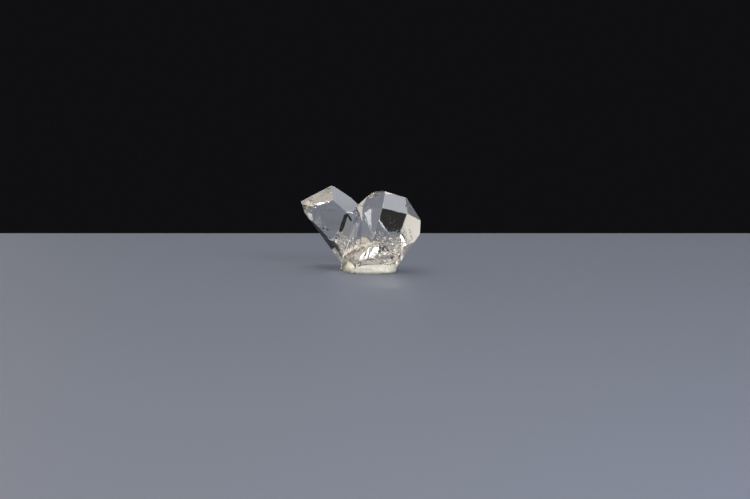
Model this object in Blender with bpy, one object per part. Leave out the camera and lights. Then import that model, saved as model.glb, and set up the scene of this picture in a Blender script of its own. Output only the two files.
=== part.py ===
"""Two clear quartz crystals grown together on one cloudy, broken foot.

Millimetres in the tables, metres in the scene, +Z up. The pair leans apart like a V: the left crystal
stands further back, and the right one in front. Places are across, up and away as the viewer sees
them, looking down a little on the front of the foot. Each crystal is a block cut by its flat faces:

shown   slope to the right and slope upwards (how much further away the face gets), a corner seen on
        it, and the earlier face that the corner lies on, or its depth
rim     seen edge-on along the outline: the turn of its outward side from the right, and a corner
behind  out of sight, so guessed: parallel to a shown face, as quartz faces come in pairs, and this thick
"""

import bmesh
import bpy
from math import copysign, cos, radians, sin
from mathutils import Matrix, Vector, noise

MM = 0.001
NAME = "quartz_crystal"

# The viewer: how far down it looks, and where the front of the foot is
VIEW_DROP = 6.0
FRONT_OF_FOOT = -8.65
SIGHT = Vector((0.0, cos(radians(VIEW_DROP)), -sin(radians(VIEW_DROP))))
SIGHT_UP = Vector((0.0, sin(radians(VIEW_DROP)), cos(radians(VIEW_DROP))))

# Right crystal
RIGHT_CENTRE_CORNER = (5.5, 16.6)
RIGHT_SIDE_CORNER = (11.9, 15.2)
RIGHT_NOTCH_CORNER = (0.4, 17.0)
RIGHT_SHOWN = {
    "front prism": (0.05, 0.45, RIGHT_CENTRE_CORNER, 0.0),
    "left prism": (-1.2, 0.81, RIGHT_CENTRE_CORNER, "front prism"),
    "right prism": (1.39, -0.01, RIGHT_SIDE_CORNER, "front prism"),
    "far left prism": (-2.3, 0.85, RIGHT_NOTCH_CORNER, "left prism"),
    "front top": (0.41, 2.09, RIGHT_CENTRE_CORNER, "front prism"),
    "left top": (-1.11, 2.33, RIGHT_CENTRE_CORNER, "left prism"),
    "right top": (2.63, 2.35, RIGHT_SIDE_CORNER, "front top"),
    "far left top": (-1.85, 2.64, RIGHT_NOTCH_CORNER, "left top"),
    "crest": (-1.3, 6.5, (2.8, 20.8), "left top"),
    "front taper": (0.13, -0.4, (7.4, 7.9), "front prism"),
    "right taper": (1.98, -1.6, (11.0, 8.2), "front prism"),
}
RIGHT_RIM = {
    "summit rim": (90, (3.8, 21.2)),
    "top right rim": (73, (11.7, 19.3)),
    "upper right rim": (32, (15.3, 13.6)),
    "right rim": (-3, (15.3, 13.6)),
    "lower right rim": (-35, (15.1, 10.0)),
}
RIGHT_BEHIND = {
    "front prism": 12.5,
    "left prism": 14.0,
    "right prism": 22.0,
    "front top": 20.0,
    "front taper": 20.0,
    "right taper": 19.0,
}

# Left crystal
LEFT_TIP_CORNER = (-7.2, 18.7)
LEFT_SHOWN = {
    "front prism": (-0.15, 0.25, (-7.2, 15.6), 8.2),
    "left top": (-0.49, 1.4, LEFT_TIP_CORNER, "front prism"),
    "right top": (0.99, 1.58, LEFT_TIP_CORNER, "front prism"),
    "left prism": (-0.72, 0.25, (-12.5, 14.8), "front prism"),
    "left taper": (-1.71, -1.29, (-10.2, 10.9), "front prism"),
    "right prism": (0.69, -0.08, (-4.5, 12.8), "front prism"),
    "front taper": (-0.3, -0.35, (-5.4, 8.4), "front prism"),
}
LEFT_RIM = {
    "left tip rim": (198, (-15.3, 17.7)),
    "upper left rim": (118, (-11.5, 20.6)),
    "summit rim": (72, (-5.1, 21.7)),
    "upper right rim": (47, (-2.4, 19.2)),
    "lower left rim": (216, (-11.5, 11.3)),
}
LEFT_BEHIND = {
    "front prism": 12.0,
    "front taper": 12.0,
    "left prism": 14.0,
    "left taper": 14.0,
    "left top": 18.0,
    "right prism": 13.0,
    "right top": 15.0,
}

# Growth ledges: a plate that stands proud of the front prism face, ended by steep edges of its own,
# each stated by its facing, its rise and a spot on the front prism face
LEDGE_HEIGHT = 0.14
LEDGE_INSET = 0.04
RIGHT_LEDGE_EDGES = {"ledge edge": (-85, 5, (8.3, 12.0))}
LEFT_LEDGE_EDGES = {
    "lower ledge edge": (80, -5, (-8.8, 14.0)),
    "upper ledge edge": (45, -40, (-8.0, 12.0)),
}

# Chips along the edges: face, place on it, facing and rise of the way out, and radius of the bite
CHIP_DEPTH = 0.22
CHIP_ROUGHNESS = 0.25
LEFT_CHIPS = (
    ("front prism", (-11.6, 17.4), -20, 40, 1.3),
    ("front prism", (-3.6, 15.9), 20, 40, 0.9),
    ("left taper", (-6.8, 5.3), -85, -35, 1.0),
)
RIGHT_CHIPS = (
    ("front top", (11.8, 17.2), 45, 60, 1.0),
)

# Foot: the cloudy broken lump under both crystals, cut off flat where the pair stands
FOOT_MIDDLE = (2.6, -2.75, -0.6)
FOOT_RADII = (6.5, 8.6, 3.9)
FOOT_SQUARENESS = 0.55
FOOT_COARSE_LUMPS = (0.5, 2.2)
FOOT_FINE_LUMPS = (0.28, 0.8)

BLANK_SIZE = 80.0


def outward(facing, rise):
    """Unit vector turned from the front towards the right by facing degrees, and up by rise degrees."""
    return Vector((
        sin(radians(facing)) * cos(radians(rise)),
        -cos(radians(facing)) * cos(radians(rise)),
        sin(radians(rise)),
    ))


def add_object(name, bm, collection):
    """Closes off a bmesh made in millimetres as an object in metres."""
    bmesh.ops.recalc_face_normals(bm, faces=bm.faces)
    bmesh.ops.scale(bm, vec=(MM, MM, MM), verts=bm.verts)
    mesh = bpy.data.meshes.new(name)
    bm.to_mesh(mesh)
    bm.free()
    obj = bpy.data.objects.new(name, mesh)
    collection.objects.link(obj)
    return obj


def cut_flat(bm, point, normal):
    """Removes what lies beyond a plane and closes the cut, where the plane meets the block at all."""
    everything = bm.verts[:] + bm.edges[:] + bm.faces[:]
    cut = bmesh.ops.bisect_plane(bm, geom=everything, plane_co=point, plane_no=normal, clear_outer=True)
    rim = [piece for piece in cut["geom_cut"] if isinstance(piece, bmesh.types.BMEdge)]
    if rim:
        bmesh.ops.edgeloop_fill(bm, edges=rim)


def seen(across, up, away):
    """A place as the viewer sees it, from the front of the foot."""
    return Vector((across, FRONT_OF_FOOT, 0.0)) + SIGHT_UP * up + SIGHT * away


def seen_on(spot, plane):
    """The place on a plane that the viewer sees at this spot."""
    near = seen(*spot, 0.0)
    normal, offset = plane
    return near + SIGHT * (offset - normal.dot(near)) / normal.dot(SIGHT)


def planes_of(shown, rims, behind):
    """Outward direction and distance from the origin of each face."""
    planes = {}
    for key, (right_slope, up_slope, spot, depth) in shown.items():
        normal = (Vector((right_slope, 0.0, 0.0)) + SIGHT_UP * up_slope - SIGHT).normalized()
        place = seen_on(spot, planes[depth]) if isinstance(depth, str) else seen(*spot, depth)
        planes[key] = (normal, normal.dot(place))
    for key, (turn, spot) in rims.items():
        normal = Vector((cos(radians(turn)), 0.0, 0.0)) + SIGHT_UP * sin(radians(turn))
        planes[key] = (normal, normal.dot(seen(*spot, 0.0)))
    for key, thickness in behind.items():
        normal, offset = planes[key]
        planes[f"behind {key}"] = (-normal, thickness - offset)
    return planes


def crystal(name, planes, collection):
    """A block cut down to the given planes."""
    bm = bmesh.new()
    bmesh.ops.create_cube(bm, size=BLANK_SIZE)
    for normal, offset in planes.values():
        cut_flat(bm, normal * offset, normal)
    return add_object(name, bm, collection)


def ledge(name, planes, edges, collection):
    """The crystal again, a little smaller, but with its front prism face proud of the crystal's own."""
    plate = {key: (normal, offset - LEDGE_INSET) for key, (normal, offset) in planes.items()}
    face = planes["front prism"]
    plate["front prism"] = (face[0], face[1] + LEDGE_HEIGHT)
    for key, (facing, rise, spot) in edges.items():
        normal = outward(facing, rise)
        plate[key] = (normal, normal.dot(seen_on(spot, face)))
    return crystal(name, plate, collection)


def foot(name, collection):
    """A flattened, squarish ball with coarse and fine lumps."""
    bm = bmesh.new()
    bmesh.ops.create_icosphere(bm, subdivisions=4, radius=1.0)
    for vertex in bm.verts:
        away = vertex.co.normalized()
        squarish = (copysign(abs(side) ** FOOT_SQUARENESS, side) for side in away)
        place = Vector(side * radius for side, radius in zip(squarish, FOOT_RADII))
        lumps = (height * noise.noise(place / size) for height, size in (FOOT_COARSE_LUMPS, FOOT_FINE_LUMPS))
        vertex.co = place + away * sum(lumps)
    bmesh.ops.translate(bm, vec=FOOT_MIDDLE, verts=bm.verts)
    return add_object(name, bm, collection)


def chip(name, place, facing, rise, radius, collection):
    """An uneven ball, mostly clear of the crystal, that takes a shallow bite out of an edge."""
    middle = place + outward(facing, rise) * (radius - CHIP_DEPTH)
    bm = bmesh.new()
    bmesh.ops.create_icosphere(bm, subdivisions=3, radius=radius)
    for vertex in bm.verts:
        vertex.co *= 1 + CHIP_ROUGHNESS * noise.noise(vertex.co + middle)
    bmesh.ops.translate(bm, vec=middle, verts=bm.verts)
    return add_object(name, bm, collection)


def ground(name, collection):
    """A block whose top is the surface that the pair stands on."""
    bm = bmesh.new()
    bmesh.ops.create_cube(bm, size=BLANK_SIZE, matrix=Matrix.Translation((0, 0, -BLANK_SIZE / 2)))
    return add_object(name, bm, collection)


def combine(target, other, operation):
    """A Boolean that adds or takes away another object, which is kept out of sight."""
    modifier = target.modifiers.new(f"{operation.lower()} {other.name}", "BOOLEAN")
    modifier.operation = operation
    modifier.solver = "EXACT"
    modifier.object = other
    other.hide_render = True
    other.display_type = "WIRE"


def clear_quartz():
    material = bpy.data.materials.new("clear quartz")
    material.use_nodes = True
    shader = material.node_tree.nodes["Principled BSDF"]
    shader.inputs["Base Color"].default_value = (0.93, 0.91, 0.86, 1.0)
    shader.inputs["Metallic"].default_value = 0.0
    shader.inputs["Roughness"].default_value = 0.03
    shader.inputs["IOR"].default_value = 1.55
    shader.inputs["Transmission Weight"].default_value = 1.0
    return material


def new_collection(name):
    collection = bpy.data.collections.new(name)
    bpy.context.scene.collection.children.link(collection)
    return collection


def main():
    for obj in list(bpy.data.objects):
        bpy.data.objects.remove(obj, do_unlink=True)
    parts = new_collection("quartz crystal")
    helpers = new_collection("cutters")

    right = planes_of(RIGHT_SHOWN, RIGHT_RIM, RIGHT_BEHIND)
    left = planes_of(LEFT_SHOWN, LEFT_RIM, LEFT_BEHIND)
    pair = crystal(NAME, right, parts)
    pair.data.materials.append(clear_quartz())
    grown = (
        ledge("right ledge", right, RIGHT_LEDGE_EDGES, helpers),
        crystal("left crystal", left, helpers),
        ledge("left ledge", left, LEFT_LEDGE_EDGES, helpers),
        foot("foot", helpers),
    )
    for piece in grown:
        combine(pair, piece, "UNION")
    for side, planes, chips in (("left", left, LEFT_CHIPS), ("right", right, RIGHT_CHIPS)):
        for number, (key, spot, facing, rise, radius) in enumerate(chips, 1):
            place = seen_on(spot, planes[key])
            bite = chip(f"{side} chip {number}", place, facing, rise, radius, helpers)
            combine(pair, bite, "DIFFERENCE")
    combine(pair, ground("ground", helpers), "DIFFERENCE")


main()
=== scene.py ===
"""Looks of the quartz pair: clear crystals, inner cracks, cloudy root, floor, light and camera."""

import bmesh
import bpy
from math import cos, pi, radians, sin, tan
from mathutils import Matrix, Vector, noise
from mathutils.bvhtree import BVHTree
from random import Random


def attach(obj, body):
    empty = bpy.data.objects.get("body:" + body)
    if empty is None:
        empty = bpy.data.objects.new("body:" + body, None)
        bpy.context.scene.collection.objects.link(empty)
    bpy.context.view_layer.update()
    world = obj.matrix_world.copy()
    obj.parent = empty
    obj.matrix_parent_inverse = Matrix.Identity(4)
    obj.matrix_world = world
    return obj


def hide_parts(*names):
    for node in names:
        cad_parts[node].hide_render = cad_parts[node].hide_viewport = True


MM = 0.001

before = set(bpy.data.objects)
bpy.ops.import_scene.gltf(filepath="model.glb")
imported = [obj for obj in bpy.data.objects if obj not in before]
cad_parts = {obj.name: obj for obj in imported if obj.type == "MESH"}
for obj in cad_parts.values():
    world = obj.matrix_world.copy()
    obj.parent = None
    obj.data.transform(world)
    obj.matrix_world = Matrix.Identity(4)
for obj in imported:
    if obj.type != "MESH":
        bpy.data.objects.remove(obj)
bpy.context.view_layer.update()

# Camera: a long lens a little above the floor
FRAME_WIDTH = 750
FRAME_HEIGHT = 499
FOCAL_PIXELS = 4600.0
CAMERA_RISE = 6.0
MM_PER_PIXEL = 0.256
OBJECT_COLUMN = 361.0
OBJECT_ROW = 273.0
SENSOR = 36.0
NEAREST = 0.01
FURTHEST = 20.0
LIGHT_BOUNCES = 24
FRONT_OF_FOOT = -8.65

LOOK = Vector((0.0, cos(radians(CAMERA_RISE)), -sin(radians(CAMERA_RISE))))
UP = Vector((0.0, sin(radians(CAMERA_RISE)), cos(radians(CAMERA_RISE))))
RIGHT = Vector((1.0, 0.0, 0.0))


def seen(across, up, depth):
    """A place as the camera sees it, in mm from the foot's front edge: to the right, up, and away."""
    return (Vector((0.0, FRONT_OF_FOOT, 0.0)) + RIGHT * across + UP * up + LOOK * depth) * MM


def link(name, data):
    obj = bpy.data.objects.new(name, data)
    bpy.context.scene.collection.objects.link(obj)
    return obj


def mesh_object(name, bm, *materials):
    mesh = bpy.data.meshes.new(name)
    bm.to_mesh(mesh)
    bm.free()
    for material in materials:
        mesh.materials.append(material)
    return link(name, mesh)


# Shader node groups

def new_group(name, inputs, outputs):
    """An empty shader group with named inputs and outputs, and its two end nodes."""
    tree = bpy.data.node_groups.new(name, "ShaderNodeTree")
    for label, kind, value in inputs:
        socket = tree.interface.new_socket(label, in_out="INPUT", socket_type=kind)
        if value is not None:
            socket.default_value = value
    for label, kind in outputs:
        tree.interface.new_socket(label, in_out="OUTPUT", socket_type=kind)
    return tree, tree.nodes.new("NodeGroupInput"), tree.nodes.new("NodeGroupOutput")


def join(tree, source, target):
    tree.links.new(source, target)


def noise_node(tree, vector, scale, detail=3.0, distortion=0.0):
    made = tree.nodes.new("ShaderNodeTexNoise")
    made.inputs["Detail"].default_value = detail
    made.inputs["Distortion"].default_value = distortion
    join(tree, vector, made.inputs["Vector"])
    if isinstance(scale, float):
        made.inputs["Scale"].default_value = scale
    else:
        join(tree, scale, made.inputs["Scale"])
    return made.outputs["Fac"]


def ramp_node(tree, value, low, high, out_low=0.0, out_high=1.0):
    made = tree.nodes.new("ShaderNodeMapRange")
    made.interpolation_type = "SMOOTHSTEP"
    for label, number in (("From Min", low), ("From Max", high), ("To Min", out_low), ("To Max", out_high)):
        if isinstance(number, (int, float)):
            made.inputs[label].default_value = number
        else:
            join(tree, number, made.inputs[label])
    join(tree, value, made.inputs["Value"])
    return made.outputs["Result"]


def maths_node(tree, operation, first, second=None):
    made = tree.nodes.new("ShaderNodeMath")
    made.operation = operation
    for socket, value in zip(made.inputs, (first, second)):
        if isinstance(value, (int, float)):
            socket.default_value = value
        elif value is not None:
            join(tree, value, socket)
    return made.outputs[0]


PATCH_END = 0.8
PIT_END = 0.78
LINE_WAVES = {"Distortion": 1.6, "Detail": 3.0, "Detail Scale": 0.6}
LINE_FADE_SCALE = 350.0
LINE_FADE = (0.4, 0.7)


def frosting_group():
    """Roughness that is low on clean faces, patchy, and high towards the broken foot."""
    tree, start, end = new_group(
        "frosting",
        (
            ("Vector", "NodeSocketVector", None),
            ("Clean", "NodeSocketFloat", 0.0),
            ("Frosted", "NodeSocketFloat", 0.3),
            ("Patch Scale", "NodeSocketFloat", 400.0),
            ("Patch Start", "NodeSocketFloat", 0.55),
            ("Foot Height", "NodeSocketFloat", 0.003),
        ),
        (("Roughness", "NodeSocketFloat"),),
    )
    vector = start.outputs["Vector"]
    patchy = noise_node(tree, vector, start.outputs["Patch Scale"], 4.0, 0.4)
    patches = ramp_node(tree, patchy, start.outputs["Patch Start"], PATCH_END)
    apart = tree.nodes.new("ShaderNodeSeparateXYZ")
    join(tree, vector, apart.inputs[0])
    low = ramp_node(tree, apart.outputs["Z"], start.outputs["Foot Height"], 0.0)
    share = maths_node(tree, "MAXIMUM", patches, low)
    roughness = ramp_node(tree, share, 0.0, 1.0, start.outputs["Clean"], start.outputs["Frosted"])
    join(tree, roughness, end.inputs[0])
    return tree


def growth_group():
    """Height of fine growth lines across the crystals, broken up by slow waves and small pits."""
    tree, start, end = new_group(
        "growth lines",
        (
            ("Vector", "NodeSocketVector", None),
            ("Line Scale", "NodeSocketFloat", 700.0),
            ("Line Share", "NodeSocketFloat", 0.5),
            ("Pit Scale", "NodeSocketFloat", 1500.0),
            ("Pit Share", "NodeSocketFloat", 0.2),
            ("Pit Start", "NodeSocketFloat", 0.62),
        ),
        (("Height", "NodeSocketFloat"),),
    )
    vector = start.outputs["Vector"]
    lines = tree.nodes.new("ShaderNodeTexWave")
    lines.bands_direction = "Z"
    for label, value in LINE_WAVES.items():
        lines.inputs[label].default_value = value
    join(tree, vector, lines.inputs["Vector"])
    join(tree, start.outputs["Line Scale"], lines.inputs["Scale"])
    fade = ramp_node(tree, noise_node(tree, vector, LINE_FADE_SCALE), *LINE_FADE)
    faded = maths_node(tree, "MULTIPLY", lines.outputs["Fac"], fade)
    pitted = noise_node(tree, vector, start.outputs["Pit Scale"])
    pits = ramp_node(tree, pitted, start.outputs["Pit Start"], PIT_END)
    height = maths_node(tree, "MULTIPLY", faded, start.outputs["Line Share"])
    hollow = maths_node(tree, "MULTIPLY", pits, start.outputs["Pit Share"])
    join(tree, maths_node(tree, "SUBTRACT", height, hollow), end.inputs[0])
    return tree


def place_group(tree, group, **values):
    made = tree.nodes.new("ShaderNodeGroup")
    made.node_tree = group
    for label, value in values.items():
        made.inputs[label.replace("_", " ")].default_value = value
    return made


def object_place(tree, turn=(0.0, 0.0, 0.0)):
    """Object coordinates through a Mapping node."""
    place = tree.nodes.new("ShaderNodeTexCoord")
    mapping = tree.nodes.new("ShaderNodeMapping")
    mapping.inputs["Rotation"].default_value = tuple(radians(angle) for angle in turn)
    join(tree, place.outputs["Object"], mapping.inputs["Vector"])
    return mapping.outputs["Vector"]


def bump(tree, height, strength, distance):
    made = tree.nodes.new("ShaderNodeBump")
    made.inputs["Strength"].default_value = strength
    made.inputs["Distance"].default_value = distance
    join(tree, height, made.inputs["Height"])
    return made.outputs["Normal"]


# Materials

QUARTZ_IOR = 1.55
GROWTH_TURN = (-28.0, 18.0, 0.0)


def new_material(name, colour, roughness, transmission=0.0):
    material = bpy.data.materials.new(name)
    material.use_nodes = True
    shader = material.node_tree.nodes["Principled BSDF"]
    shader.inputs["Base Color"].default_value = (*colour, 1.0)
    shader.inputs["Roughness"].default_value = roughness
    shader.inputs["IOR"].default_value = QUARTZ_IOR
    shader.inputs["Transmission Weight"].default_value = transmission
    return material, material.node_tree, shader


def clear_quartz(frosting, growth):
    material, tree, shader = new_material("clear quartz", (1.0, 1.0, 1.0), 0.0, 1.0)
    frosted = place_group(
        tree, frosting, Clean=0.0, Frosted=0.12, Patch_Scale=260.0, Patch_Start=0.64, Foot_Height=0.0036
    )
    join(tree, object_place(tree), frosted.inputs["Vector"])
    join(tree, frosted.outputs["Roughness"], shader.inputs["Roughness"])
    lines = place_group(tree, growth, Line_Scale=420.0, Line_Share=0.5, Pit_Scale=1400.0, Pit_Share=0.5)
    join(tree, object_place(tree, GROWTH_TURN), lines.inputs["Vector"])
    join(tree, bump(tree, lines.outputs["Height"], 0.12, 0.03 * MM), shader.inputs["Normal"])
    volume = tree.nodes.new("ShaderNodeVolumeAbsorption")
    volume.inputs["Color"].default_value = (0.93, 0.88, 0.78, 1.0)
    volume.inputs["Density"].default_value = 14.0
    join(tree, volume.outputs["Volume"], tree.nodes["Material Output"].inputs["Volume"])
    return material


def crack_walls(frosting):
    """The walls of the inner cracks, partly dulled; the absorption is left to the crystal round them."""
    material, tree, shader = new_material("crack walls", (1.0, 1.0, 1.0), 0.05, 1.0)
    frosted = place_group(
        tree, frosting, Clean=0.02, Frosted=0.35, Patch_Scale=900.0, Patch_Start=0.35, Foot_Height=0.002
    )
    join(tree, object_place(tree), frosted.inputs["Vector"])
    join(tree, frosted.outputs["Roughness"], shader.inputs["Roughness"])
    return material


def cloudy_quartz(frosting, growth):
    """The broken foot: milky, cream, with a greenish yellow low down."""
    material, tree, shader = new_material("cloudy quartz", (0.9, 0.85, 0.74), 0.4)
    place = object_place(tree)
    frosted = place_group(
        tree, frosting, Clean=0.3, Frosted=0.6, Patch_Scale=700.0, Patch_Start=0.4, Foot_Height=0.001
    )
    join(tree, place, frosted.inputs["Vector"])
    join(tree, frosted.outputs["Roughness"], shader.inputs["Roughness"])
    lumps = place_group(
        tree, growth, Line_Scale=300.0, Line_Share=0.3, Pit_Scale=650.0, Pit_Share=1.0, Pit_Start=0.3
    )
    join(tree, place, lumps.inputs["Vector"])
    join(tree, bump(tree, lumps.outputs["Height"], 0.8, 0.25 * MM), shader.inputs["Normal"])
    tint = tree.nodes.new("ShaderNodeValToRGB")
    tint.color_ramp.elements[0].color = (0.84, 0.81, 0.64, 1.0)
    tint.color_ramp.elements[0].position = 0.35
    tint.color_ramp.elements[1].color = (0.99, 0.96, 0.89, 1.0)
    tint.color_ramp.elements[1].position = 0.62
    join(tree, noise_node(tree, place, 420.0, 4.0, 0.3), tint.inputs["Fac"])
    join(tree, tint.outputs["Color"], shader.inputs["Base Color"])
    return material


def fleck_material(name, dark, light, roughness):
    """Small inclusions whose colour varies from one to the next."""
    material, tree, shader = new_material(name, light, roughness)
    tint = tree.nodes.new("ShaderNodeValToRGB")
    tint.color_ramp.elements[0].color = (*dark, 1.0)
    tint.color_ramp.elements[0].position = 0.4
    tint.color_ramp.elements[1].color = (*light, 1.0)
    tint.color_ramp.elements[1].position = 0.6
    join(tree, noise_node(tree, object_place(tree), 1800.0, 1.0), tint.inputs["Fac"])
    join(tree, tint.outputs["Color"], shader.inputs["Base Color"])
    return material


# Sheets inside the crystals, that cracks and veils follow

SURFACE_CLEARANCE = 0.15
SHORTEST_REACH = 0.25


def outward(facing, rise):
    return Vector((
        sin(radians(facing)) * cos(radians(rise)),
        -cos(radians(facing)) * cos(radians(rise)),
        sin(radians(rise)),
    ))


class Sheet:
    """A bent, ragged disc: where it is, which way it faces, how far it reaches each way and how it bends."""

    def __init__(
        self, place, facing, rise, spin, radii, bend, ripple, seed,
        rings=8, spokes=28, raggedness=0.5, corners=2.0,
    ):
        self.corners = corners
        self.raggedness = raggedness
        self.rings = rings
        self.spokes = spokes
        self.middle = seen(*place)
        self.away = outward(facing, rise)
        level = self.away.cross(Vector((0, 0, 1)))
        level = level.normalized() if level.length > 0.1 else Vector((1, 0, 0))
        self.side = Matrix.Rotation(radians(spin), 3, self.away) @ level
        self.along = self.away.cross(self.side)
        self.radii = radii
        self.bend = bend
        self.ripple = ripple
        self.seed = seed

    def point(self, ring, spoke, lift=0.0):
        share = ring / self.rings
        angle = 2 * pi * spoke / self.spokes
        rim = Vector((cos(angle) * 1.4, sin(angle) * 1.4, self.seed * 7.3))
        square = (abs(cos(angle)) ** self.corners + abs(sin(angle)) ** self.corners) ** (-1 / self.corners)
        uneven = noise.noise(rim) + 0.6 * noise.noise(rim * 3.1)
        reach = share * square * max(SHORTEST_REACH, 1.0 + self.raggedness * uneven)
        across = cos(angle) * reach
        up = sin(angle) * reach
        waves = noise.noise(Vector((across * 2.1, up * 2.1, self.seed * 3.7)))
        waves += 0.4 * noise.noise(Vector((across * 5.3, up * 5.3, self.seed * 5.1)))
        height = (self.bend * (across * across - 0.4 * up) + self.ripple * waves) * self.radii[0] + lift
        offset = self.side * across * self.radii[0] + self.along * up * self.radii[1] + self.away * height
        return self.middle + offset * MM


class Inside:
    """Tells how deep a place lies under the surface of a closed mesh, in mm, negative outside."""

    def __init__(self, bm):
        self.tree = BVHTree.FromBMesh(bm)

    def depth(self, place):
        nearest, normal, _, distance = self.tree.find_nearest(place)
        return (distance if (place - nearest).dot(normal) < 0 else -distance) / MM

    def kept(self, place):
        """The place, or the nearest one that is clear of the surface."""
        nearest, normal, _, _ = self.tree.find_nearest(place)
        if self.depth(place) < SURFACE_CLEARANCE:
            return nearest - normal * SURFACE_CLEARANCE * MM
        return place


# Large cracks: place seen (mm across, up, away), facing, rise, spin, reach each way, bend, ripple
CRACK_THICKNESS = 0.04
FIRST_SLOT = 0
FOOT_SLOT = 1
CRACK_SLOT = 2
CRACKS = (
    ((6.2, 5.2, 0.0), -12, 20, 8, (2.4, 1.1), -0.30, 0.08),
    ((9.6, 5.6, 2.2), 50, 8, 50, (2.2, 0.7), 0.25, 0.06),
    ((6.4, 2.5, -0.6), 4, 58, 0, (2.3, 1.2), 0.45, 0.06),
    ((-4.8, 6.6, 8.8), -10, 18, 119, (2.6, 0.8), 0.2, 0.09),
    ((-1.6, 2.9, 3.2), -15, 55, 0, (1.5, 0.9), 0.45, 0.07),
)

# Swarms of small cracks: the same, for the sheet that they lie along, then how many and their reach
SWARMS = (
    (((7.4, 8.2, 1.6), 5, 35, 0, (4.2, 1.5), 0.15, 0.10), 34, (0.2, 0.8)),
    (((6.2, 5.4, 0.4), 0, 30, 5, (4.2, 1.8), -0.2, 0.10), 34, (0.3, 1.1)),
    (((-4.4, 7.0, 8.5), 0, 15, 119, (4.4, 1.5), 0.12, 0.10), 70, (0.25, 1.0)),
    (((-1.7, 6.0, 3.9), -35, 25, 100, (2.9, 1.5), 0.2, 0.10), 44, (0.25, 1.0)),
    (((11.6, 10.4, 2.6), 45, 5, 112, (3.0, 0.7), 0.2, 0.05), 12, (0.2, 0.7)),
)
SWARM_TURN = 35.0
SWARM_DEPTH = 0.3
SWARM_NARROWNESS = (0.25, 0.7)
SWARM_BEND = (-0.3, 0.3)
SWARM_RIPPLE = 0.3
SWARM_RAGGEDNESS = 1.3
SWARM_RINGS = 3
SWARM_SPOKES = 11
PLACE_RINGS = 10
PLACE_SPOKES = 40


def add_crack(bm, inside, sheet, thickness=CRACK_THICKNESS, outwards=False, slot=CRACK_SLOT):
    """Two close sheets that meet at a ragged rim.

    Their faces look into the gap for a crack, and outwards for a solid blade, such as the near-black sheets
    of painted shade. Large ones are smooth.
    """
    layers = []
    for half in (-1, 1):
        rows = []
        for ring in range(sheet.rings + 1):
            lift = half * thickness * (1 - (ring / sheet.rings) ** 4) / 2
            spokes = range(sheet.spokes if ring else 1)
            rows.append([inside.kept(sheet.point(ring, spoke, lift)) for spoke in spokes])
        layers.append(rows)
    rim = [bm.verts.new(place) for place in layers[0][-1]]
    for half, rows in zip((-1, 1), layers):
        made = [[bm.verts.new(place) for place in row] for row in rows[:-1]] + [rim]
        for spoke in range(sheet.spokes):
            after = (spoke + 1) % sheet.spokes
            for ring in range(sheet.rings):
                inner = [made[0][0]] if ring == 0 else [made[ring][after], made[ring][spoke]]
                corners = inner + [made[ring + 1][spoke], made[ring + 1][after]]
                face = bm.faces.new(corners if (half < 0) != outwards else corners[::-1])
                face.smooth = sheet.rings > SWARM_RINGS
                face.material_index = slot


def swarm_sheets(facts, count, reach, seed):
    """Small sheets at chance places along a large one, turned a little from it."""
    chance = Random(seed)
    place, facing, rise = facts[:3]
    large = Sheet(*facts, seed, rings=PLACE_RINGS, spokes=PLACE_SPOKES)
    for number in range(count):
        radius = reach[0] + (reach[1] - reach[0]) * chance.random() ** 2
        small = Sheet(
            place,
            facing + chance.uniform(-1, 1) * SWARM_TURN,
            rise + chance.uniform(-1, 1) * SWARM_TURN,
            chance.uniform(0, 180),
            (radius, radius * chance.uniform(*SWARM_NARROWNESS)),
            chance.uniform(*SWARM_BEND),
            SWARM_RIPPLE,
            seed * 100 + number,
            rings=SWARM_RINGS,
            spokes=SWARM_SPOKES,
            raggedness=SWARM_RAGGEDNESS,
        )
        ring = round(PLACE_RINGS * chance.random() ** 0.6)
        small.middle = large.point(ring, chance.randrange(PLACE_SPOKES), chance.uniform(-0.5, 0.5))
        yield small


# Crystal body

EDGE_ROUNDING = 0.04
LUMP_FACE_AREA = 0.5
FOOT_TOP = 4.2
CLOUDY_HEIGHT = 3.1
SHARP_TURN = 8.0
SHORTEST_ROUNDED = 0.3
MERGE_DISTANCE = 0.001
FLAT_ANGLE = 0.4
FLOOR_CLEARANCE = 0.01


def is_lump(face):
    """True for the small faces of the foot, and for whatever else lies as low as it."""
    top = max(vertex.co.z for vertex in face.verts)
    small = face.calc_area() < LUMP_FACE_AREA * MM * MM
    return top < CLOUDY_HEIGHT * MM or (small and top < FOOT_TOP * MM)


def crystal_mesh():
    bm = bmesh.new()
    bm.from_mesh(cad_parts["quartz_crystal"].data)
    bmesh.ops.remove_doubles(bm, verts=bm.verts, dist=MERGE_DISTANCE * MM)
    bmesh.ops.dissolve_limit(bm, angle_limit=radians(FLAT_ANGLE), verts=bm.verts, edges=bm.edges)
    edges = [
        edge for edge in bm.edges
        if edge.is_manifold and edge.calc_face_angle() > radians(SHARP_TURN)
        and not any(is_lump(face) for face in edge.link_faces)
        and edge.calc_length() > SHORTEST_ROUNDED * MM
        and min(vertex.co.z for vertex in edge.verts) > FLOOR_CLEARANCE * MM
    ]
    bmesh.ops.bevel(
        bm, geom=edges, offset=EDGE_ROUNDING * MM, segments=2, profile=0.6,
        affect="EDGES", clamp_overlap=True,
    )
    bmesh.ops.triangulate(bm, faces=bm.faces)
    for face in bm.faces:
        if is_lump(face):
            face.material_index = FOOT_SLOT
            face.smooth = True
    return bm


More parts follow.
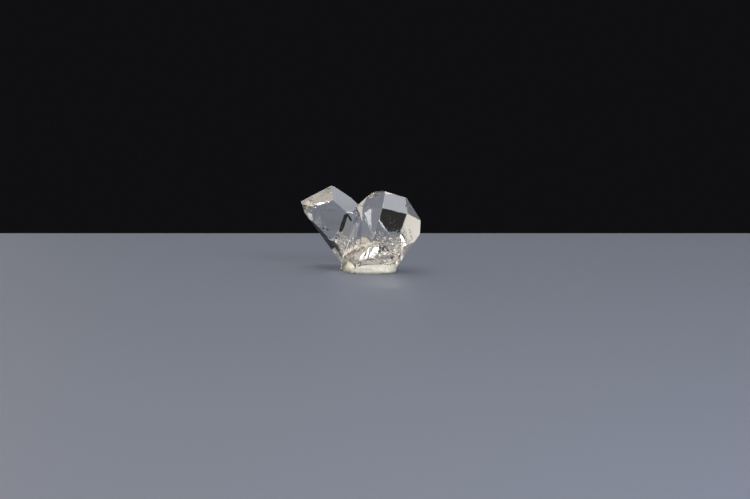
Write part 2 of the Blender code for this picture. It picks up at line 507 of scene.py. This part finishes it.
def clear_crystal(frosting, growth):
    bm = crystal_mesh()
    inside = Inside(bm)
    for seed, facts in enumerate(CRACKS, 1):
        add_crack(bm, inside, Sheet(*facts, seed))
    for seed, (facts, count, reach) in enumerate(SWARMS, 20):
        for sheet in swarm_sheets(facts, count, reach, seed):
            if inside.depth(sheet.middle) > SWARM_DEPTH:
                add_crack(bm, inside, sheet)
    materials = clear_quartz(frosting, growth), cloudy_quartz(frosting, growth), crack_walls(frosting)
    piece = mesh_object("clear_crystal", bm, *materials)
    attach(piece, "root")
    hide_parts("quartz_crystal")
    return inside


# Veils: sheets of small inclusions

VEIL_MARGIN = 0.3
CLUMP_SIZE = 1.1
CLUMP_CONTRAST = 1.6
RIM_FADE = 1.4
FLECK_CLEARANCE = 0.02
FLECK_FLATNESS = 0.45


def veil_mesh(sheet, inside):
    """The sheet as a mesh whose fill attribute is 1 well inside the crystal and 0 at its rim or outside."""
    bm = bmesh.new()
    rows = []
    for ring in range(sheet.rings + 1):
        rows.append([bm.verts.new(sheet.point(ring, spoke)) for spoke in range(sheet.spokes if ring else 1)])
    for spoke in range(sheet.spokes):
        after = (spoke + 1) % sheet.spokes
        for ring in range(sheet.rings):
            inner = [rows[0][0]] if ring == 0 else [rows[ring][after], rows[ring][spoke]]
            bm.faces.new(inner + [rows[ring + 1][spoke], rows[ring + 1][after]])
    mesh = bpy.data.meshes.new("veil")
    bm.to_mesh(mesh)
    bm.free()
    fill = mesh.attributes.new("fill", "FLOAT", "POINT")
    for vertex, value in zip(mesh.vertices, fill.data):
        ring = (vertex.index + sheet.spokes - 1) // sheet.spokes
        depth = inside.depth(vertex.co) - VEIL_MARGIN
        spot = vertex.co / (CLUMP_SIZE * MM) + Vector((0, 0, sheet.seed))
        clump = 0.5 + CLUMP_CONTRAST * noise.noise(spot)
        value.value = 0.0 if depth < 0 else min(1.0, max(0.0, RIM_FADE * (1 - ring / sheet.rings) * clump))
    return mesh


def fleck_tree():
    """Scatters small flattened grains on a sheet, thick where its fill attribute is high."""
    tree = bpy.data.node_groups.new("flecks on a veil", "GeometryNodeTree")
    sockets = {}
    for label, kind, value in (
        ("Veil", "NodeSocketGeometry", None),
        ("Flecks per Area", "NodeSocketFloat", 1.0e8),
        ("Smallest", "NodeSocketFloat", 0.04 * MM),
        ("Largest", "NodeSocketFloat", 0.1 * MM),
        ("Flatness", "NodeSocketFloat", 0.5),
        ("Spread", "NodeSocketFloat", 0.1 * MM),
        ("Seed", "NodeSocketInt", 1),
        ("Finish", "NodeSocketMaterial", None),
    ):
        sockets[label] = tree.interface.new_socket(label, in_out="INPUT", socket_type=kind)
        if value is not None:
            sockets[label].default_value = value
    tree.interface.new_socket("Flecks", in_out="OUTPUT", socket_type="NodeSocketGeometry")
    start = tree.nodes.new("NodeGroupInput").outputs
    end = tree.nodes.new("NodeGroupOutput")

    def add(kind, **links):
        made = tree.nodes.new(kind)
        for label, source in links.items():
            socket = made.inputs[label.replace("_", " ")]
            if isinstance(source, bpy.types.NodeSocket):
                join(tree, source, socket)
            else:
                socket.default_value = source
        return made

    fill = add("GeometryNodeInputNamedAttribute", Name="fill")
    points = add(
        "GeometryNodeDistributePointsOnFaces", Mesh=start["Veil"],
        Density=start["Flecks per Area"], Seed=start["Seed"],
    )
    keep = tree.nodes.new("FunctionNodeRandomValue")
    keep.data_type = "FLOAT"
    join(tree, start["Seed"], keep.inputs["Seed"])
    drop = tree.nodes.new("FunctionNodeCompare")
    drop.data_type = "FLOAT"
    drop.operation = "GREATER_THAN"
    join(tree, keep.outputs[1], drop.inputs[0])
    join(tree, fill.outputs["Attribute"], drop.inputs[1])
    kept = add("GeometryNodeDeleteGeometry", Geometry=points.outputs["Points"], Selection=drop.outputs[0])
    kept.domain = "POINT"

    def random_vector(low, high, salt):
        made = tree.nodes.new("FunctionNodeRandomValue")
        made.data_type = "FLOAT_VECTOR"
        made.inputs[0].default_value = low
        made.inputs[1].default_value = high
        join(tree, maths_node(tree, "ADD", start["Seed"], salt), made.inputs["Seed"])
        return made.outputs[0]

    def scaled(vector, factor):
        made = tree.nodes.new("ShaderNodeVectorMath")
        made.operation = "SCALE"
        join(tree, vector, made.inputs[0])
        join(tree, factor, made.inputs["Scale"])
        return made.outputs[0]

    moved = add(
        "GeometryNodeSetPosition", Geometry=kept.outputs[0],
        Offset=scaled(random_vector((-1, -1, -1), (1, 1, 1), 11), start["Spread"]),
    )
    grain = add("GeometryNodeMeshIcoSphere", Radius=1.0, Subdivisions=1)
    chance = tree.nodes.new("FunctionNodeRandomValue")
    chance.data_type = "FLOAT"
    mostly_small = maths_node(tree, "POWER", chance.outputs[1], 3.0)
    gain = maths_node(tree, "SUBTRACT", start["Largest"], start["Smallest"])
    size = maths_node(tree, "ADD", maths_node(tree, "MULTIPLY", mostly_small, gain), start["Smallest"])
    shape = tree.nodes.new("ShaderNodeCombineXYZ")
    join(tree, start["Flatness"], shape.inputs[2])
    shape.inputs[0].default_value = 1.0
    shape.inputs[1].default_value = 0.7
    scattered = add(
        "GeometryNodeInstanceOnPoints", Points=moved.outputs[0], Instance=grain.outputs["Mesh"],
        Rotation=random_vector((0, 0, 0), (2 * pi, 2 * pi, 2 * pi), 23),
        Scale=scaled(shape.outputs[0], size),
    )
    real = add("GeometryNodeRealizeInstances", Geometry=scattered.outputs[0])
    finished = add("GeometryNodeSetMaterial", Geometry=real.outputs[0], Material=start["Finish"])
    join(tree, finished.outputs[0], end.inputs[0])
    return tree, {label: socket.identifier for label, socket in sockets.items()}


# Each veil: its sheet, then flecks per square mm, smallest and largest size, and spread
BRIGHT_VEILS = (
    (((7.0, 9.4, 1.5), 5, 30, 0, (4.6, 2.0), 0.15, 0.08), 9.0, 0.03, 0.11, 0.5),
    (((7.2, 7.6, 3.5), 0, 55, 0, (4.6, 2.4), 0.15, 0.08), 22.0, 0.04, 0.13, 0.5),
    (((6.0, 6.6, 0.2), 10, 40, 10, (3.8, 1.7), -0.2, 0.08), 30.0, 0.04, 0.14, 0.4),
    (((5.2, 4.4, 0.6), -10, 30, 0, (3.6, 1.6), 0.25, 0.08), 22.0, 0.04, 0.12, 0.4),
    (((10.2, 9.6, 3.0), 45, 10, 60, (2.6, 1.0), 0.2, 0.08), 14.0, 0.04, 0.11, 0.3),
    (((-4.4, 7.4, 8.8), 0, 15, 119, (4.4, 1.5), 0.15, 0.10), 18.0, 0.04, 0.14, 0.4),
    (((-1.6, 5.8, 4.2), -30, 25, 100, (3.0, 1.6), 0.2, 0.10), 20.0, 0.04, 0.13, 0.4),
    (((7.4, 12.8, 0.2), 5, 30, 92, (2.6, 0.14), 0.0, 0.02), 60.0, 0.02, 0.05, 0.05),
    (((8.3, 11.6, 0.6), 5, 30, 96, (2.0, 0.10), 0.0, 0.02), 60.0, 0.02, 0.05, 0.05),
    (((7.2, 12.2, 0.6), 5, 30, 0, (3.4, 3.0), 0.05, 0.05), 1.6, 0.03, 0.12, 0.4),
    (((-3.5, 11.4, 9.0), 25, 5, 70, (2.6, 0.6), 0.1, 0.05), 20.0, 0.03, 0.09, 0.2),
)
DARK_VEILS = (
    (((-4.6, 6.6, 8.4), 0, 15, 119, (3.4, 0.9), 0.15, 0.10), 14.0, 0.05, 0.16, 0.3),
    (((6.4, 9.8, 1.0), 0, 40, 0, (3.4, 1.2), 0.15, 0.08), 5.0, 0.04, 0.12, 0.4),
    (((7.0, 4.4, -0.4), 10, 35, 20, (1.6, 0.8), 0.2, 0.08), 10.0, 0.04, 0.1, 0.2),
)
ROOT_LAYERS = ((3.0, 10.0), (3.8, 8.0), (4.8, 4.0))
ROOT_REACH = (8.5, 9.0)
ROOT_SIZES = (0.05, 0.17)
ROOT_ACROSS = 2.6
ROOT_AWAY = 10.0


def root_veils():
    """Level sheets of the cloudy root, thinner with height."""
    veils = []
    for height, count in ROOT_LAYERS:
        sheet = ((ROOT_ACROSS, height, ROOT_AWAY - height), 0, 90, 0, ROOT_REACH, 0.0, 0.05)
        veils.append((sheet, count, *ROOT_SIZES, 0.5))
    return veils


def flecks(name, veils, finish, tree, sockets, inside, first_seed):
    """All veils of one kind as one plain mesh."""
    bm = bmesh.new()
    for seed, (facts, count, smallest, largest, spread) in enumerate(veils, first_seed):
        veil = link("veil", veil_mesh(Sheet(*facts, seed), inside))
        modifier = veil.modifiers.new("flecks", "NODES")
        modifier.node_group = tree
        for label, value in (
            ("Flecks per Area", count / (MM * MM)), ("Smallest", smallest * MM), ("Largest", largest * MM),
            ("Flatness", FLECK_FLATNESS), ("Spread", spread * MM), ("Seed", seed), ("Finish", finish),
        ):
            modifier[sockets[label]] = value
        evaluated = veil.evaluated_get(bpy.context.evaluated_depsgraph_get())
        plain = bpy.data.meshes.new_from_object(evaluated)
        bm.from_mesh(plain)
        source = veil.data
        bpy.data.objects.remove(veil)
        bpy.data.meshes.remove(source)
        bpy.data.meshes.remove(plain)
    outside = [vertex for vertex in bm.verts if inside.depth(vertex.co) < FLECK_CLEARANCE]
    loose = set()
    for vertex in outside:
        if vertex not in loose:
            grain = [vertex]
            loose.add(vertex)
            for member in grain:
                for edge in member.link_edges:
                    other = edge.other_vert(member)
                    if other not in loose:
                        loose.add(other)
                        grain.append(other)
    bmesh.ops.delete(bm, geom=list(loose), context="VERTS")
    piece = mesh_object(name, bm, finish)
    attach(piece, "root")


# Cloudy root: a lumpy milky mass low inside both crystals
ROOT_MIDDLE = (3.4, -1.6, 1.4)
ROOT_RADII = (5.6, 6.8, 2.6)
ROOT_LUMPS = ((1.1, 2.4), (0.5, 0.9), (0.22, 0.35))


def cloudy_root(finish, inside):
    bm = bmesh.new()
    bmesh.ops.create_icosphere(bm, subdivisions=5, radius=1.0)
    for vertex in bm.verts:
        away = vertex.co.normalized()
        place = Vector(side * radius for side, radius in zip(away, ROOT_RADII))
        lumps = sum(height * noise.noise(place / size) for height, size in ROOT_LUMPS)
        vertex.co = inside.kept((Vector(ROOT_MIDDLE) + place + away * lumps) * MM)
    piece = mesh_object("cloudy_root", bm, finish)
    for face in piece.data.polygons:
        face.use_smooth = True
    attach(piece, "root")


# Black blades of painted shade in the left crystal, set where a crack only looks dark: place seen, facing,
# rise, spin, reach each way, bend, ripple
BLADE_THICKNESS = 0.12
BLADE_RAGGEDNESS = 0.2
BLADE_CORNERS = 5.0
PAINTED_SHADE_BLADES = (
    ((-4.6, 12.9, 7.9), 12, 14, 68.5, (2.5, 0.42), 0.03, 0.01),
    ((-3.0, 14.2, 8.3), 20, 12, 122, (1.1, 0.3), 0.04, 0.01),
)


# Near-black solid sheets: painted shade standing in for a crack that looks dark, not a dark mineral.
def painted_shade_blades(finish, inside):
    bm = bmesh.new()
    for seed, facts in enumerate(PAINTED_SHADE_BLADES, 90):
        sheet = Sheet(*facts, seed, raggedness=BLADE_RAGGEDNESS, corners=BLADE_CORNERS)
        add_crack(bm, inside, sheet, BLADE_THICKNESS, outwards=True, slot=FIRST_SLOT)
    piece = mesh_object("painted_shade_blades", bm, finish)
    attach(piece, "root")


def camera():
    data = bpy.data.cameras.new("camera")
    data.sensor_width = SENSOR
    data.lens = FOCAL_PIXELS / FRAME_WIDTH * SENSOR
    data.clip_start = NEAREST
    data.clip_end = FURTHEST
    rig = link("camera", data)
    target = seen(
        (FRAME_WIDTH / 2 - OBJECT_COLUMN) * MM_PER_PIXEL, (OBJECT_ROW - FRAME_HEIGHT / 2) * MM_PER_PIXEL, 0.0
    )
    rig.location = target - LOOK * FOCAL_PIXELS * MM_PER_PIXEL * MM
    rig.rotation_euler = LOOK.to_track_quat("-Z", "Y").to_euler()
    bpy.context.scene.camera = rig


# Floor: a plain bluish grey surface that ends a little behind the crystal

FLOOR_HALF_WIDTH = 0.6
FLOOR_FRONT = -1.0
FLOOR_BACK = 0.092
FLOOR_COLOUR = (0.098, 0.122, 0.183)
FLOOR_ROUGHNESS = 0.5


def floor():
    material = new_material("floor", FLOOR_COLOUR, FLOOR_ROUGHNESS)[0]
    bm = bmesh.new()
    corners = (
        (-FLOOR_HALF_WIDTH, FLOOR_FRONT, 0), (FLOOR_HALF_WIDTH, FLOOR_FRONT, 0),
        (FLOOR_HALF_WIDTH, FLOOR_BACK, 0), (-FLOOR_HALF_WIDTH, FLOOR_BACK, 0),
    )
    bm.faces.new([bm.verts.new(corner) for corner in corners])
    mesh_object("floor", bm, material)


# Soft boxes round the crystal: degrees right of straight behind, degrees up, width, height, brightness, tint
WARM = (1.0, 0.90, 0.77)
PALE = (0.95, 0.97, 1.0)
SOFT_BOXES = {
    "left box": (-75, 25, 95, 38, 0.42, WARM),
    "low right strip": (52, 5, 20, 20, 0.52, WARM),
    "overhead box": (0, 82, 55, 55, 0.55, WARM),
    "back right box": (19, 43, 24, 14, 1.7, PALE),
    "back middle box": (-6, 42, 18, 14, 0.85, WARM),
    "back left box": (-34, 53, 32, 22, 1.8, WARM),
    "low left strip": (-25, 17, 20, 14, 1.3, WARM),
    "front left box": (-138, 45, 26, 26, 0.8, PALE),
    "front key": (152, 28, 24, 18, 13.0, PALE),
    "overhead key": (0, 88, 30, 30, 4.5, WARM),
}
BOX_DISTANCE = 0.7
LIGHT_AIM = Vector((0.0, 0.0, 0.01))


def soft_box(name, azimuth, elevation, width, height, brightness, tint):
    """A flat light facing the crystal, with its size given by the angles that it fills."""
    data = bpy.data.lights.new(name, "AREA")
    data.shape = "RECTANGLE"
    data.size = 2 * BOX_DISTANCE * tan(radians(width / 2))
    data.size_y = 2 * BOX_DISTANCE * tan(radians(height / 2))
    data.energy = brightness * pi * data.size * data.size_y
    data.color = tint
    lamp = link(name, data)
    way = outward(180 - azimuth, elevation)
    lamp.location = way * BOX_DISTANCE + LIGHT_AIM
    lamp.rotation_euler = (-way).to_track_quat("-Z", "Y").to_euler()
    lamp.visible_camera = False


DOME_COLOUR = (0.26, 0.25, 0.235)
BELOW_COLOUR = (0.13, 0.15, 0.19)
DARK_COLOUR = (0.005, 0.005, 0.006)
DARK_MIDDLE = 0.2
DARK_HALF_WIDTH = 0.38
DARK_TOP = 0.22
DARK_EDGE = 0.08
LIT_RIGHT = (0.16, 0.24)
LIT_LOW = (0.0, -0.02)
FRONT_EDGE = (0.1, -0.1)
HORIZON = (-0.05, 0.02)


def mix_node(tree, factor, first, second):
    made = tree.nodes.new("ShaderNodeMix")
    made.data_type = "RGBA"
    join(tree, factor, made.inputs["Factor"])
    for label, colour in (("A", first), ("B", second)):
        socket = next(s for s in made.inputs if s.name == label and s.type == "RGBA")
        if isinstance(colour, tuple):
            socket.default_value = (*colour, 1.0)
        else:
            join(tree, colour, socket)
    return next(s for s in made.outputs if s.type == "RGBA")


def dome():
    """A dim even dome, bluish grey below, and a dark patch behind the crystal, a little to the right."""
    world = bpy.data.worlds.new("soft dome")
    world.use_nodes = True
    tree = world.node_tree
    way = tree.nodes.new("ShaderNodeTexCoord")
    apart = tree.nodes.new("ShaderNodeSeparateXYZ")
    join(tree, way.outputs["Generated"], apart.inputs[0])
    off_centre = maths_node(tree, "SUBTRACT", apart.outputs["X"], DARK_MIDDLE)
    aside = maths_node(tree, "ABSOLUTE", off_centre)
    sideways = ramp_node(tree, aside, DARK_HALF_WIDTH, DARK_HALF_WIDTH + DARK_EDGE)
    upward = ramp_node(tree, apart.outputs["Z"], DARK_TOP, DARK_TOP + DARK_EDGE)
    right_low = ramp_node(tree, apart.outputs["Z"], *LIT_LOW)
    right_side = ramp_node(tree, apart.outputs["X"], *LIT_RIGHT)
    upward = maths_node(tree, "MAXIMUM", upward, maths_node(tree, "MULTIPLY", right_low, right_side))
    forward = ramp_node(tree, apart.outputs["Y"], *FRONT_EDGE)
    lit = maths_node(tree, "MAXIMUM", maths_node(tree, "MAXIMUM", sideways, upward), forward)
    even = mix_node(tree, ramp_node(tree, apart.outputs["Z"], *HORIZON), BELOW_COLOUR, DOME_COLOUR)
    join(tree, mix_node(tree, lit, DARK_COLOUR, even), tree.nodes["Background"].inputs["Color"])
    bpy.context.scene.world = world


def main():
    camera()
    floor()
    dome()
    for name, facts in SOFT_BOXES.items():
        soft_box(name, *facts)
    inside = clear_crystal(frosting_group(), growth_group())
    tree, sockets = fleck_tree()
    cream = fleck_material("cream inclusions", (0.86, 0.79, 0.66), (0.97, 0.95, 0.90), 0.4)
    white = fleck_material("white inclusions", (0.93, 0.88, 0.80), (1.0, 1.0, 1.0), 0.2)
    brown = fleck_material("dark inclusions", (0.012, 0.010, 0.008), (0.06, 0.045, 0.03), 0.3)
    flecks("bright_veils", BRIGHT_VEILS, white, tree, sockets, inside, 1)
    flecks("dark_veils", DARK_VEILS, brown, tree, sockets, inside, 31)
    # The blades' near-black finish is painted shade.
    painted_shade_blades(fleck_material("painted shade blades", (0.003, 0.003, 0.003), (0.006, 0.005, 0.005), 0.7), inside)
    cloudy_root(fleck_material("milky root", (0.93, 0.90, 0.84), (1.0, 0.985, 0.955), 0.6), inside)
    flecks("root_flecks", root_veils(), cream, tree, sockets, inside, 61)
    scene = bpy.context.scene
    scene.cycles.max_bounces = LIGHT_BOUNCES
    scene.cycles.transmission_bounces = LIGHT_BOUNCES
    scene.view_settings.view_transform = "Standard"


main()
